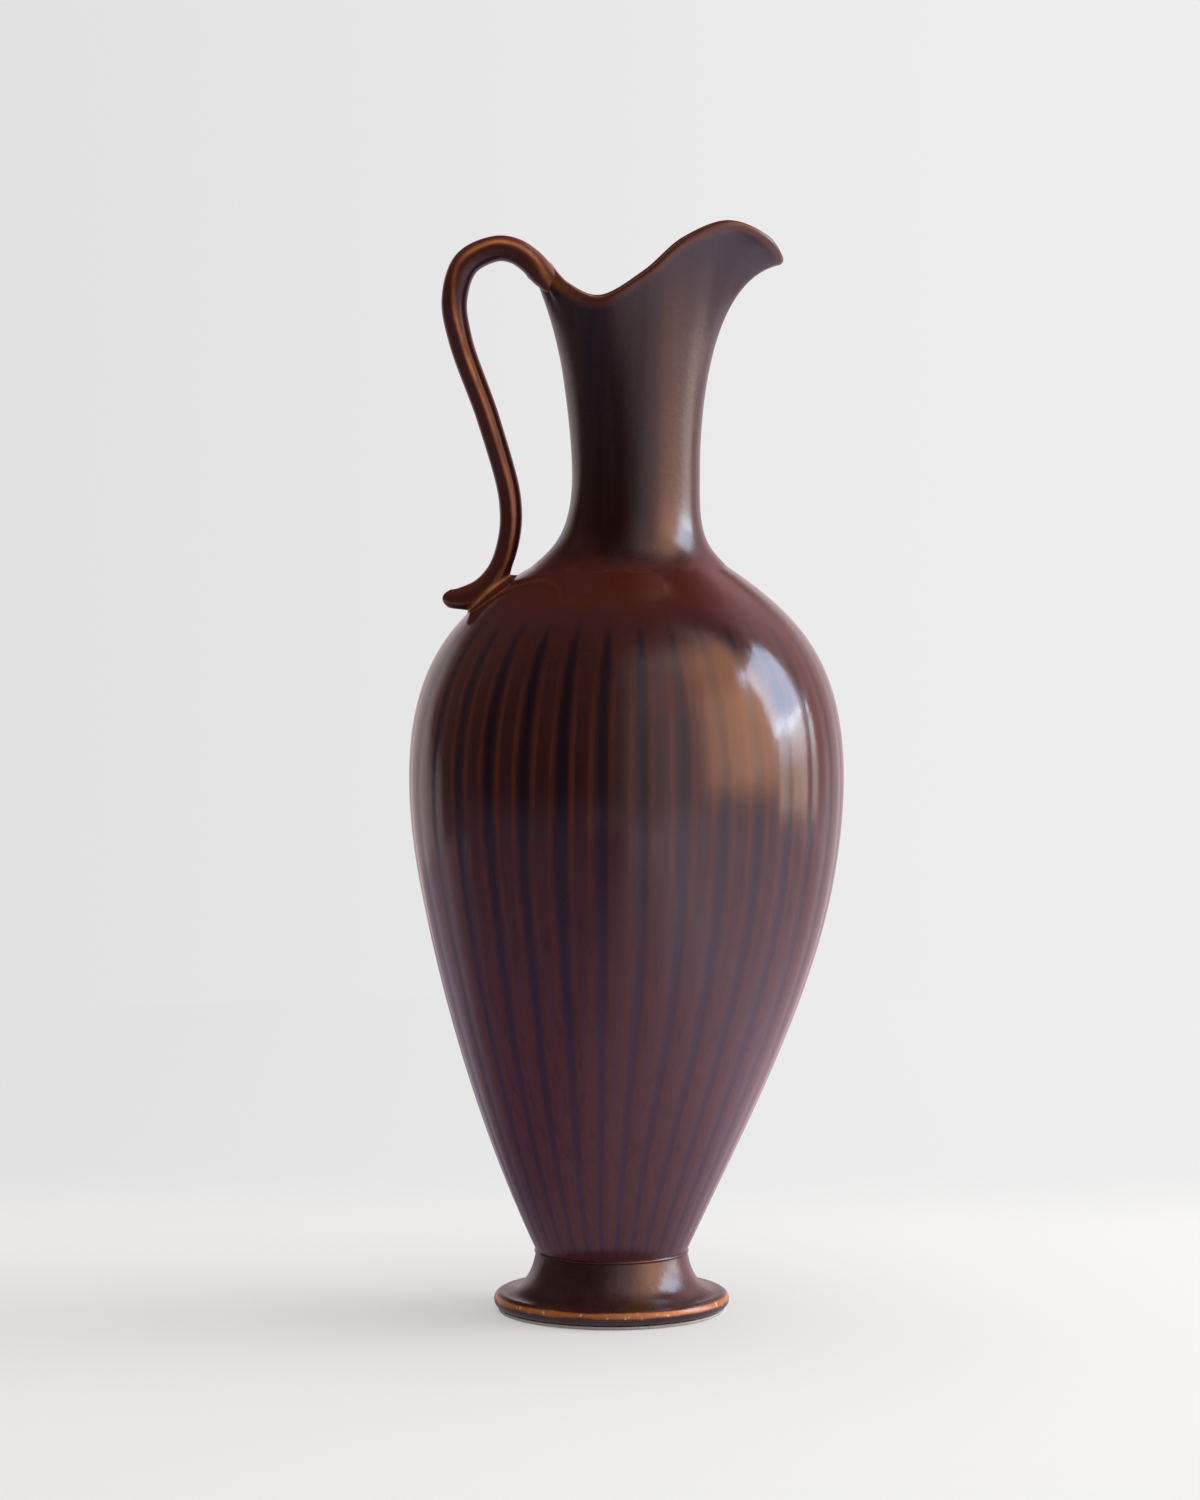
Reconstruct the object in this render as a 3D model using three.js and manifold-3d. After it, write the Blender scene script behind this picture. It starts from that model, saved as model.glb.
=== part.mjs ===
// A tall glazed stoneware pitcher: pedestal foot, fluted ovoid body, slim neck with a swept-up beak,
// and a thin looped handle that grows out of the rim and ends in a spur on the shoulder.
// Millimetres, +Z up, the table at z = 0, the spout towards +X and the handle towards -X.
import * as THREE from 'three';
import { LoftGeometry } from 'three/addons/geometries/LoftGeometry.js';
import { mergeVertices } from 'three/addons/utils/BufferGeometryUtils.js';
import Module from 'manifold-3d';

// Foot: a bare bearing ring, a rolled edge and a concave sweep up to the waist
const ringHeight = 0.9;
const ringRadius = 30.4;
const ringWidth = 5;
const footHeight = 16.6;
const footRadius = 33.6;
const footEdgeRadius = 2.3;
const footWaistRadius = 21.7;
const sweepPullIn = 0.62;
const sweepPullOut = 0.1;
const sweepPullDown = 0.55;
const footWall = 4.5;
const hollowPullOut = 0.6;
const hollowPullUp = 0.6;
const beadHeight = 1;
const beadBulge = 0.35;

// Body: an ovoid from the foot to the belly and from the belly to the shoulder
const bellyRise = 135;
const shoulderRise = 60;
const bellyRadius = 61.7;
const bodyTopRadius = 27.7;
const bodyWall = 3.6;
const floorThickness = 5;
const baseSlope = 0.4575;
const basePull = 0.205;
const bellyPullDown = 0.35;
const bellyPullUp = 0.585;
const shoulderPullOut = 0.56;
const shoulderPullDown = 0.203;

// Flutes: shallow grooves with flat ribs between, fading out at both ends
const ribCount = 34;
const grooveDepth = 0.35;
const grooveShare = 0.15;
const grooveFadeBottom = 8;
const grooveFadeTop = 24;

// Neck: a luted band, a concave rise to the waist, then a flare up to the rim
const bandHeight = 1;
const neckBaseRadius = 26.6;
const neckWaistRise = 24.6;
const neckWaistRadius = 18.05;
const neckWall = 2.9;
const neckBasePull = new THREE.Vector2(5.8, 5.25);
const neckWaistPull = 15;
const lipThickness = 2.4;

// Ridge of the rim, measured from the neck's waist, on the +Y side from the beak's tip to the handle
const rimTip = new THREE.Vector3(41.3, 0, 60.6);
const rimSide = [
  new THREE.Vector3(37.1, 9, 67.9),
  new THREE.Vector3(27.7, 13.5, 71.7),
  new THREE.Vector3(14, 17, 67.8),
  new THREE.Vector3(3.2, 19, 58),
  new THREE.Vector3(-10.6, 18.5, 51.1),
  new THREE.Vector3(-19.6, 11, 54.4),
];
const rimBack = new THREE.Vector3(-25.2, 0, 58.5);

// How the neck flares: pull up from the waist, share of the reach and drop where it meets the rim
const flareSpout = { pull: 25.7, share: 0.74, drop: 6 };
const flareSide = { pull: 20, share: 0.4, drop: 16 };
const flareBack = { pull: 19, share: 0.08, drop: 11 };

// Handle: a pulled rod, thick at the root and on the bow, drawn to a point at the spur
const rootRadius = 4.2;
const rootHalfWidth = 8;
const bowRadius = 3.5;
const stemRadius = 3.1;
const spurTipRadius = 0.8;
const handleWidthRatio = 1.1;
const bowFrom = 0.3;
const stemFrom = 0.65;
const rootLength = 0.1;
const spurFrom = 0.9;

// Upper points of the handle's centre line from the back of the rim (x, z)
const handleBow = [
  new THREE.Vector2(2.6, -8),
  new THREE.Vector2(-1.6, -1.5),
  new THREE.Vector2(-8.7, 4.5),
  new THREE.Vector2(-13.9, 5.3),
  new THREE.Vector2(-22.5, 1.5),
  new THREE.Vector2(-25.9, -8.5),
  new THREE.Vector2(-24.2, -20.3),
  new THREE.Vector2(-16.3, -42.8),
];

// Seat of the lower end, as a share of the shoulder's curve, and the points from it (x, z) to the spur
const seatShare = 0.7407;
const handleStem = [
  new THREE.Vector2(6.6, 28.3),
  new THREE.Vector2(6.7, 17),
  new THREE.Vector2(4.7, 8.6),
  new THREE.Vector2(-0.5, 3.4),
  new THREE.Vector2(-5.6, 0.9),
  new THREE.Vector2(-10.3, 1.1),
];

// Pad of clay under the lower end: half length, half width and height above the shoulder
const padHalfLength = 9;
const padHalfWidth = 5.5;
const padHeight = 2;
const padRoot = 2;

// The foot and the neck stand a little off the body's axis, which is true between two heights
const footDrift = -4.25;
const neckDrift = 2.6;
const trueFrom = 122;
const trueTo = 198;

// Gap between luted pieces whose faces curve
const seatGap = 0.3;

// Fineness of the facets
const turnSteps = 44;
const formSteps = 64;
const curveSteps = 8;
const insideSteps = 5;
const footSteps = 4;
const neckColumns = 48;
const handleSides = 12;
const handleSteps = 48;
const padColumns = 20;
const padRows = 14;
const lipTurns = [Math.PI / 4, Math.PI / 2, 3 * Math.PI / 4];
const weldDistance = 1e-4;

// Heights above the table
const bodyBase = footHeight + beadHeight;
const bellyZ = bodyBase + bellyRise;
const bodyTop = bellyZ + shoulderRise;
const neckBase = bodyTop + bandHeight;
const waistZ = neckBase + neckWaistRise;
const mouthRadius = neckBaseRadius - neckWall;

const wasm = await Module();
wasm.setup();

function solidOf(geometry) {
  const bare = new THREE.BufferGeometry();
  bare.setAttribute('position', geometry.getAttribute('position'));
  bare.setIndex(geometry.getIndex());
  const merged = mergeVertices(bare, weldDistance);
  const mesh = new wasm.Mesh({
    numProp: 3,
    vertProperties: merged.attributes.position.array,
    triVerts: new Uint32Array(merged.index.array),
  });
  return new wasm.Manifold(mesh);
}

function geometryOf(solid) {
  const mesh = solid.getMesh();
  const geometry = new THREE.BufferGeometry();
  geometry.setAttribute('position', new THREE.BufferAttribute(mesh.vertProperties, 3));
  geometry.setIndex(new THREE.BufferAttribute(mesh.triVerts, 1));
  return geometry;
}

// What is left of a piece once the given forms are cut out of it
function cut(geometry, ...forms) {
  const left = forms.reduce((piece, form) => piece.subtract(solidOf(form)), solidOf(geometry));
  return geometryOf(left);
}

// Where the thrown axis stands at a height
function driftAt(z) {
  const below = 1 - THREE.MathUtils.smoothstep(z, bodyBase, trueFrom);
  const above = THREE.MathUtils.smoothstep(z, trueTo, waistZ);
  return footDrift * below + neckDrift * above;
}

// Moves every point of a piece with the axis at its height
function settle(geometry) {
  const position = geometry.getAttribute('position');
  for (let i = 0; i < position.count; i++) {
    position.setX(i, position.getX(i) + driftAt(position.getZ(i)));
  }
  geometry.computeVertexNormals();
  return geometry;
}

// Turns an outline of (radius, height) points round the upright axis
function turned(outline, steps = turnSteps) {
  return new THREE.LatheGeometry(outline, steps).rotateX(Math.PI / 2);
}

function onTurn(radius, angle, z) {
  return new THREE.Vector3(radius * Math.cos(angle), radius * Math.sin(angle), z);
}

// The bearing ring, flat underneath, with both lower corners eased
function footRing() {
  const outline = new THREE.Path();
  const inside = ringRadius - ringWidth;
  const ease = ringHeight / 2;
  outline.moveTo(inside + ease, 0);
  outline.lineTo(ringRadius - ease, 0);
  outline.quadraticCurveTo(ringRadius, 0, ringRadius, ringHeight);
  outline.lineTo(inside, ringHeight);
  outline.quadraticCurveTo(inside, 0, inside + ease, 0);
  return turned(outline.getPoints(2));
}

// The foot: rolled edge, concave sweep to the waist and a hollow underneath
function pedestalFoot() {
  const edgeX = footRadius - footEdgeRadius;
  const edgeZ = ringHeight + footEdgeRadius;
  const hollowRadius = ringRadius - ringWidth;
  const hollowTop = footHeight - footWall;
  const outline = new THREE.Path();
  outline.moveTo(hollowRadius, ringHeight);
  outline.lineTo(edgeX, ringHeight);
  outline.absarc(edgeX, edgeZ, footEdgeRadius, -Math.PI / 2, Math.PI / 2, false);
  const sweep = edgeX - footWaistRadius;
  const rise = footHeight - edgeZ - footEdgeRadius;
  outline.bezierCurveTo(
    edgeX - sweep * sweepPullIn, edgeZ + footEdgeRadius,
    footWaistRadius + sweep * sweepPullOut, footHeight - rise * sweepPullDown,
    footWaistRadius, footHeight,
  );
  outline.lineTo(0, footHeight);
  outline.lineTo(0, hollowTop);
  outline.bezierCurveTo(
    hollowRadius * hollowPullOut, hollowTop,
    hollowRadius, ringHeight + (hollowTop - ringHeight) * hollowPullUp,
    hollowRadius, ringHeight,
  );
  return turned(outline.getPoints(footSteps));
}

// The bead of slip that lutes the body to the foot
function footBead() {
  const outline = new THREE.Path();
  const pull = footWaistRadius + 2 * beadBulge;
  outline.moveTo(0, footHeight);
  outline.lineTo(footWaistRadius, footHeight);
  outline.quadraticCurveTo(pull, footHeight + beadHeight / 2, footWaistRadius, bodyBase);
  outline.lineTo(0, bodyBase);
  return turned(outline.getPoints(footSteps));
}

// The outside of the body, from the foot up, in two curves that meet upright at the belly
function bodyCurves() {
  const lift = bellyRise * basePull;
  const shoulderX = THREE.MathUtils.lerp(bodyTopRadius, bellyRadius, shoulderPullOut);
  const lower = new THREE.CubicBezierCurve(
    new THREE.Vector2(footWaistRadius, bodyBase),
    new THREE.Vector2(footWaistRadius + lift * baseSlope, bodyBase + lift),
    new THREE.Vector2(bellyRadius, bellyZ - bellyRise * bellyPullDown),
    new THREE.Vector2(bellyRadius, bellyZ),
  );
  const upper = new THREE.CubicBezierCurve(
    new THREE.Vector2(bellyRadius, bellyZ),
    new THREE.Vector2(bellyRadius, bellyZ + shoulderRise * bellyPullUp),
    new THREE.Vector2(shoulderX, bodyTop - shoulderRise * shoulderPullDown),
    new THREE.Vector2(bodyTopRadius, bodyTop),
  );
  return [lower, upper];
}

// Points along a curve, set off to its left by a distance (a negative distance goes outwards)
function offsetPoints(curve, distance, steps) {
  const points = [];
  for (let i = 0; i <= steps; i++) {
    const along = curve.getTangent(i / steps);
    const left = new THREE.Vector2(-along.y, along.x);
    points.push(curve.getPoint(i / steps).addScaledVector(left, distance));
  }
  return points;
}

function joined(first, second) {
  return first.concat(second.slice(1));
}

// Angles round the body: each groove has its bottom and its two edges
function fluteAngles() {
  const pitch = 2 * Math.PI / ribCount;
  const angles = [];
  for (let rib = 0; rib < ribCount; rib++) {
    for (const share of [-grooveShare, 0, grooveShare]) {
      angles.push({ angle: (rib + share) * pitch, inGroove: share === 0 });
    }
  }
  return angles;
}

function grooveDepthAt(z) {
  const fromFoot = THREE.MathUtils.smoothstep(z, bodyBase, bodyBase + grooveFadeBottom);
  const fromNeck = 1 - THREE.MathUtils.smoothstep(z, bodyTop - grooveFadeTop, bodyTop);
  return grooveDepth * fromFoot * fromNeck;
}

// The body: fluted outside, plain inside, open at the top
function body() {
  const [lower, upper] = bodyCurves();
  const face = (depth, steps) => joined(offsetPoints(lower, depth, steps), offsetPoints(upper, depth, steps));
  const outside = face(0, curveSteps);
  const liner = face(bodyWall, insideSteps);
  const floorZ = bodyBase + floorThickness;
  const inside = liner.filter((point) => point.y > floorZ + bodyWall && point.x > mouthRadius);
  const floorRadius = footWaistRadius - bodyWall;
  const mouth = new THREE.Vector2(mouthRadius, bodyTop);
  const floorEdge = new THREE.Vector2(floorRadius, floorZ);
  const floorCentre = new THREE.Vector2(0, floorZ);
  const angles = fluteAngles();
  const plainRing = (point) => angles.map(({ angle }) => onTurn(point.x, angle, point.y));
  const flutedRing = (point) => angles.map(({ angle, inGroove }) => {
    const depth = inGroove ? grooveDepthAt(point.y) : 0;
    return onTurn(point.x - depth, angle, point.y);
  });
  const rings = outside.map(flutedRing);
  rings.push(plainRing(mouth));
  rings.push(...inside.reverse().map(plainRing));
  rings.push(plainRing(floorEdge), plainRing(floorCentre));
  return new LoftGeometry(rings, { capStart: true });
}

// The plain form of the body's outside, grown by a gap, for cutting what sits on it
function bodyForm(gap) {
  const [lower, upper] = bodyCurves();
  const steps = curveSteps * 2;
  const outside = joined(offsetPoints(lower, -gap, steps), offsetPoints(upper, -gap, steps));
  const bottom = new THREE.Vector2(0, outside[0].y);
  const top = new THREE.Vector2(0, outside.at(-1).y);
  return turned([bottom, ...outside, top], formSteps);
}

// The luted band between the shoulder and the neck
function neckBand() {
  const outline = [
    new THREE.Vector2(mouthRadius, bodyTop),
    new THREE.Vector2(bodyTopRadius, bodyTop),
    new THREE.Vector2(neckBaseRadius, neckBase),
    new THREE.Vector2(mouthRadius, neckBase),
    new THREE.Vector2(mouthRadius, bodyTop),
  ];
  return turned(outline);
}

// The ridge of the rim as one closed curve, the same on both sides
function rimCurve() {
  const raised = (point) => point.clone().setZ(point.z + waistZ);
  const near = rimSide.map(raised);
  const far = near.map((point) => point.clone().setY(-point.y)).reverse();
  return new THREE.CatmullRomCurve3([raised(rimTip), ...near, raised(rimBack), ...far], true);
}

// The wall of the neck below one point of the rim, as (radius, height) points on each face
function neckWallAt(rimPoint, gap = 0) {
  const reach = Math.hypot(rimPoint.x, rimPoint.y);
  const facing = rimPoint.x / reach;
  const front = facing > 0 ? facing ** 2 : 0;
  const back = facing < 0 ? facing ** 2 : 0;
  const side = 1 - front - back;
  const blend = (key) => front * flareSpout[key] + side * flareSide[key] + back * flareBack[key];
  const ridge = new THREE.Vector2(reach, rimPoint.z);
  const holdX = THREE.MathUtils.lerp(reach, neckWaistRadius, blend('share'));
  const hold = new THREE.Vector2(holdX, rimPoint.z - blend('drop'));
  const along = ridge.clone().sub(hold).normalize();
  const out = new THREE.Vector2(along.y, -along.x);
  const half = lipThickness / 2;
  const lipCentre = ridge.clone().addScaledVector(along, -half);

  const face = (inset, lipSide, steps) => {
    const waist = new THREE.Vector2(neckWaistRadius - inset, waistZ);
    const base = new THREE.Vector2(neckBaseRadius - inset, neckBase);
    const rise = new THREE.CubicBezierCurve(
      base,
      new THREE.Vector2(base.x - neckBasePull.x, base.y + neckBasePull.y),
      new THREE.Vector2(waist.x, waist.y - neckWaistPull),
      waist,
    );
    const flare = new THREE.CubicBezierCurve(
      waist,
      new THREE.Vector2(waist.x, waist.y + blend('pull')),
      hold.clone().addScaledVector(out, -inset),
      lipCentre.clone().addScaledVector(out, lipSide),
    );
    return joined(rise.getPoints(steps - 2), flare.getPoints(steps + 2));
  };
  const lip = lipTurns.map((turn) => lipCentre.clone()
    .addScaledVector(out, (half + gap) * Math.cos(turn))
    .addScaledVector(along, (half + gap) * Math.sin(turn)));
  const outside = face(-gap, half + gap, curveSteps);
  const inside = face(neckWall, -half, insideSteps);
  return { outside, lip, inside };
}

// Rings of points round the neck, one for each step of the wall that pick() takes from a column
function neckRings(pick) {
  const rim = rimCurve();
  const columns = [];
  for (let i = 0; i < neckColumns; i++) {
    const rimPoint = rim.getPointAt(i / neckColumns);
    const angle = Math.atan2(rimPoint.y, rimPoint.x);
    columns.push(pick(rimPoint).map((point) => onTurn(point.x, angle, point.y)));
  }
  return columns[0].map((_, row) => columns.map((column) => column[row]));
}

// The neck with its beak, saddle rim and open bore
function neckAndSpout() {
  const rings = neckRings((rimPoint) => {
    const wall = neckWallAt(rimPoint);
    return [...wall.outside, ...wall.lip, ...wall.inside.reverse(), wall.outside[0]];
  });
  return new LoftGeometry(rings);
}

// The neck's outside as a filled form, grown by a gap, for cutting the handle's root
function neckForm(gap) {
  const saddleZ = waistZ + Math.min(...rimSide.map((point) => point.z));
  const rings = neckRings((rimPoint) => {
    const wall = neckWallAt(rimPoint, gap);
    return [...wall.outside, ...wall.lip, new THREE.Vector2(0, saddleZ)];
  });
  return new LoftGeometry(rings, { capStart: true });
}

// The place on the shoulder where the handle is seated, with the directions along and off it
function shoulderSeat() {
  const [, upper] = bodyCurves();
  const point = upper.getPoint(seatShare);
  const along = upper.getTangent(seatShare);
  return {
    point: new THREE.Vector3(-point.x, 0, point.y),
    along: new THREE.Vector3(-along.x, 0, along.y),
    off: new THREE.Vector3(-along.y, 0, -along.x),
  };
}

function handlePath() {
  const top = new THREE.Vector3(rimBack.x, 0, waistZ + rimBack.z);
  const seat = shoulderSeat().point;
  const from = (anchor) => (step) => new THREE.Vector3(anchor.x + step.x, 0, anchor.z + step.y);
  return new THREE.CatmullRomCurve3([...handleBow.map(from(top)), ...handleStem.map(from(seat))]);
}

// Half thickness of the rod at a share of its length
function rodRadiusAt(share) {
  const { smoothstep, lerp } = THREE.MathUtils;
  const rod = lerp(bowRadius, stemRadius, smoothstep(share, bowFrom, stemFrom));
  const root = (rootRadius - bowRadius) * (1 - smoothstep(share, 0, rootLength));
  const spur = Math.max(0, (share - spurFrom) / (1 - spurFrom));
  return lerp(rod + root, spurTipRadius, spur ** 2);
}

// Half width of the rod, which fans out to the rim at its root
function rodHalfWidthAt(share) {
  const fan = 1 - THREE.MathUtils.smoothstep(share, 0, rootLength);
  return THREE.MathUtils.lerp(rodRadiusAt(share) * handleWidthRatio, rootHalfWidth, fan);
}

function handleRod() {
  const path = handlePath();
  const across = new THREE.Vector3(0, 1, 0);
  const rings = [];
  for (let i = 0; i <= handleSteps; i++) {
    const share = i / handleSteps;
    const centre = path.getPointAt(share);
    const inPlane = path.getTangentAt(share).cross(across);
    const radius = rodRadiusAt(share);
    const halfWidth = rodHalfWidthAt(share);
    const ring = [];
    for (let j = 0; j < handleSides; j++) {
      const angle = j / handleSides * 2 * Math.PI;
      ring.push(centre.clone()
        .addScaledVector(across, halfWidth * Math.cos(angle))
        .addScaledVector(inPlane, radius * Math.sin(angle)));
    }
    rings.push(ring);
  }
  return new LoftGeometry(rings, { capStart: true, capEnd: true });
}

// The pad as a low dome laid along the shoulder, grown by a gap when it cuts the handle
function padDome(gap = 0) {
  const seat = shoulderSeat();
  const across = new THREE.Vector3().crossVectors(seat.off, seat.along);
  const frame = new THREE.Matrix4().makeBasis(seat.along, across, seat.off);
  frame.setPosition(seat.point.clone().addScaledVector(seat.off, -padRoot));
  const dome = new THREE.SphereGeometry(1, padColumns, padRows);
  dome.scale(padHalfLength + gap, padHalfWidth + gap, padHeight + padRoot + gap);
  return dome.applyMatrix4(frame);
}

function handlePad() {
  return cut(padDome(), bodyForm(seatGap));
}

function handle() {
  return cut(handleRod(), neckForm(seatGap), bodyForm(seatGap), padDome(seatGap));
}

const bareClay = { color: 0xd9cfc0, roughness: 0.85, metalness: 0 };
const darkGlaze = { color: 0x2c1a17, roughness: 0.25, metalness: 0 };
const redBrownGlaze = { color: 0x45211d, roughness: 0.2, metalness: 0 };
const ironRedGlaze = { color: 0x5a231a, roughness: 0.25, metalness: 0 };
const amberBrownGlaze = { color: 0x4a2413, roughness: 0.2, metalness: 0 };

const pitcher = new THREE.Group();

function addPiece(name, geometry, finish) {
  const piece = new THREE.Mesh(settle(geometry), new THREE.MeshStandardMaterial(finish));
  piece.name = name;
  pitcher.add(piece);
}

addPiece('foot_ring', footRing(), bareClay);
addPiece('pedestal_foot', pedestalFoot(), darkGlaze);
addPiece('foot_bead', footBead(), ironRedGlaze);
addPiece('body', body(), redBrownGlaze);
addPiece('neck_band', neckBand(), ironRedGlaze);
addPiece('neck_and_spout', neckAndSpout(), darkGlaze);
addPiece('handle', handle(), amberBrownGlaze);
addPiece('handle_pad', handlePad(), amberBrownGlaze);

export default pitcher;
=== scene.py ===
import math

import bpy
import numpy as np
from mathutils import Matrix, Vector


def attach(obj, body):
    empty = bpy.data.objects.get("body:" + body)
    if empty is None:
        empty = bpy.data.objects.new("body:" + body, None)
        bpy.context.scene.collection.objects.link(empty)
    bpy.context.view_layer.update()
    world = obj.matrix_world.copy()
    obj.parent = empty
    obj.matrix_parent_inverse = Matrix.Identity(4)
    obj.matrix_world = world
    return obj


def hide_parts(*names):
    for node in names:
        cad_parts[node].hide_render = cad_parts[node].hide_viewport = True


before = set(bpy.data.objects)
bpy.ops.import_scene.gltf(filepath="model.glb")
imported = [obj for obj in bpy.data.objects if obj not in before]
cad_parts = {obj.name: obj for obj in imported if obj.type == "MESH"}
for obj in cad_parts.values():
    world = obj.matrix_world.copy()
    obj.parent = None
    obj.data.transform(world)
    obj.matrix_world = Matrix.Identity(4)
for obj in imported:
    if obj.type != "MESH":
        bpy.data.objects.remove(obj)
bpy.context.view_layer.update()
scene = bpy.context.scene
scene.view_settings.view_transform = 'Standard'
print("frame loaded:", ", ".join(sorted(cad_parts)))

millimetre = 0.001
fullTurn = 2 * math.pi
poleSize = 1e-6
leastLength = 1e-9
sharpFrom = math.radians(27)

# heights above the table and how far the thrown axis leans, all in millimetres
stand = dict(footTop=16.6, bodyBase=17.6, bellyZ=152.6, bodyTop=212.6, neckBase=213.6, waistZ=238.2,
             footDrift=-4.25, neckDrift=2.6, trueFrom=122.0, trueTo=198.0)


# 0 below low, 1 above high, an S-curve between
def smoothStep(x, low, high):
    t = np.clip((x - low) / (high - low), 0.0, 1.0)
    return t * t * (3.0 - 2.0 * t)


def mixed(a, b, share):
    return a + (b - a) * share


# points of a cubic with four control points, each (..., dims), at equal shares; the share is the first axis
def cubicPoints(p0, p1, p2, p3, count):
    p0, p1, p2, p3 = (np.asarray(p, float) for p in (p0, p1, p2, p3))
    t = np.linspace(0.0, 1.0, count).reshape((count,) + (1,) * p0.ndim)
    return p0 * (1 - t) ** 3 + 3 * p1 * t * (1 - t) ** 2 + 3 * p2 * t * t * (1 - t) + p3 * t ** 3


# a rounded corner from a to c that leans on b: a (1 - t)^2 + 2 b t (1 - t) + c t^2
def cornerPoints(a, b, c, count):
    a, b, c = np.array(a), np.array(b), np.array(c)
    t = np.linspace(0.0, 1.0, count)[:, None]
    return a * (1 - t) ** 2 + 2 * b * t * (1 - t) + c * t * t


# a smooth line through points: each stretch is a cubic whose end slopes come from root-spaced neighbours,
# then the line is cut into equal lengths
def smoothLine(points, count, closed=False, steps=120):
    p = np.asarray(points, float)
    if closed:
        p0, p1, p2, p3 = np.roll(p, 1, 0), p, np.roll(p, -1, 0), np.roll(p, -2, 0)
    else:
        full = np.vstack([2 * p[0] - p[1], p, 2 * p[-1] - p[-2]])
        p0, p1, p2, p3 = full[:-3], full[1:-2], full[2:-1], full[3:]
    pairs = (p0, p1), (p1, p2), (p2, p3)
    d0, d1, d2 = (np.sqrt(np.linalg.norm(b - a, axis=1))[:, None] for a, b in pairs)
    m1 = ((p1 - p0) / d0 - (p2 - p0) / (d0 + d1) + (p2 - p1) / d1) * d1
    m2 = ((p2 - p1) / d1 - (p3 - p1) / (d1 + d2) + (p3 - p2) / d2) * d1
    t = np.linspace(0.0, 1.0, steps, endpoint=False)[None, :, None]
    parts = p1, m1, -3 * p1 + 3 * p2 - 2 * m1 - m2, 2 * p1 - 2 * p2 + m1 + m2
    a, b, c, d = (q[:, None] for q in parts)
    line = (a + b * t + c * t ** 2 + d * t ** 3).reshape(-1, p.shape[1])
    line = np.vstack([line, p[:1] if closed else p[-1:]])
    run = np.concatenate([[0.0], np.cumsum(np.linalg.norm(np.diff(line, axis=0), axis=1))])
    at = np.linspace(0.0, run[-1], count, endpoint=not closed)
    return np.stack([np.interp(at, run, line[:, k]) for k in range(p.shape[1])], axis=1)


# sideways shift of the axis at a height
def driftAt(z):
    below = 1.0 - smoothStep(z, stand["bodyBase"], stand["trueFrom"])
    above = smoothStep(z, stand["trueTo"], stand["waistZ"])
    return stand["footDrift"] * below + stand["neckDrift"] * above


# a profile of (radius, height) rows carried round the axis: x = r cos a, y = r sin a, z = height
def turnedGrid(profile, columns):
    angle = np.linspace(0.0, fullTurn, columns, endpoint=False)
    r, z = profile[:, :1], profile[:, 1:]
    return np.stack([r * np.cos(angle), r * np.sin(angle), np.repeat(z, columns, axis=1)], axis=2)


# outward directions of a grid: the step round it crossed with the step along it
def gridNormals(grid):
    around = np.roll(grid, -1, axis=1) - np.roll(grid, 1, axis=1)
    normal = np.cross(around, np.gradient(grid, axis=0))
    return normal / np.maximum(np.linalg.norm(normal, axis=2), leastLength)[..., None]


# for each point of a grid near another surface: which point of that surface is nearest, and how far off
# it lies, less than zero inside it
def nearestOn(grid, other, reach):
    flat, target = grid.reshape(-1, 3), other.reshape(-1, 3)
    facing = gridNormals(other).reshape(-1, 3)
    near = np.all((flat > target.min(axis=0) - reach) & (flat < target.max(axis=0) + reach), axis=1)
    low, high = flat[near].min(axis=0) - reach, flat[near].max(axis=0) + reach
    kept = np.flatnonzero(np.all((target > low) & (target < high), axis=1))
    a, b = flat[near].astype(np.float32), target[kept].astype(np.float32)
    apart = (a ** 2).sum(axis=1)[:, None] + (b ** 2).sum(axis=1) - 2 * a @ b.T
    nearest = apart.argmin(axis=1)
    away = np.sqrt(np.maximum(apart[np.arange(len(a)), nearest], 0))
    nearest = kept[nearest]
    inside = ((flat[near] - target[nearest]) * facing[nearest]).sum(axis=1) < 0
    return near, nearest, np.where(inside, -away, away)


# softens the joint of two pieces: near another surface each point rises along its own normal by
# (reach - distance)^2 / (4 reach), the rise of a rounded union, less where both face the same way,
# so the two sides meet in one fillet; the weights fade it out along either piece
def liftedTowards(grid, other, reach, ownWeight=1.0, otherWeight=1.0):
    flat = grid.reshape(-1, 3)
    normal, facing = gridNormals(grid).reshape(-1, 3), gridNormals(other).reshape(-1, 3)
    own = np.broadcast_to(ownWeight, grid.shape[:2]).ravel()
    others = np.broadcast_to(otherWeight, other.shape[:2]).ravel()
    near, nearest, distance = nearestOn(grid, other, reach)
    rise = np.clip(reach - np.abs(distance), 0, None) ** 2 / (4 * reach)
    turned = np.clip(1 - (normal[near] * facing[nearest]).sum(axis=1), 0, 1)
    rise = rise * turned * own[near] * others[nearest]
    lifted = flat.copy()
    lifted[near] += normal[near] * rise[:, None]
    return lifted.reshape(grid.shape)


# 1 on a line where two surfaces meet, falling off like a bell, looked for up to four widths away
def creaseMark(grid, other, width):
    mark = np.zeros(grid.shape[0] * grid.shape[1])
    near, distance = nearestOn(grid, other, 4 * width)[::2]
    mark[near] = np.exp(-(distance / width) ** 2)
    return mark.reshape(grid.shape[:2])


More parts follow.
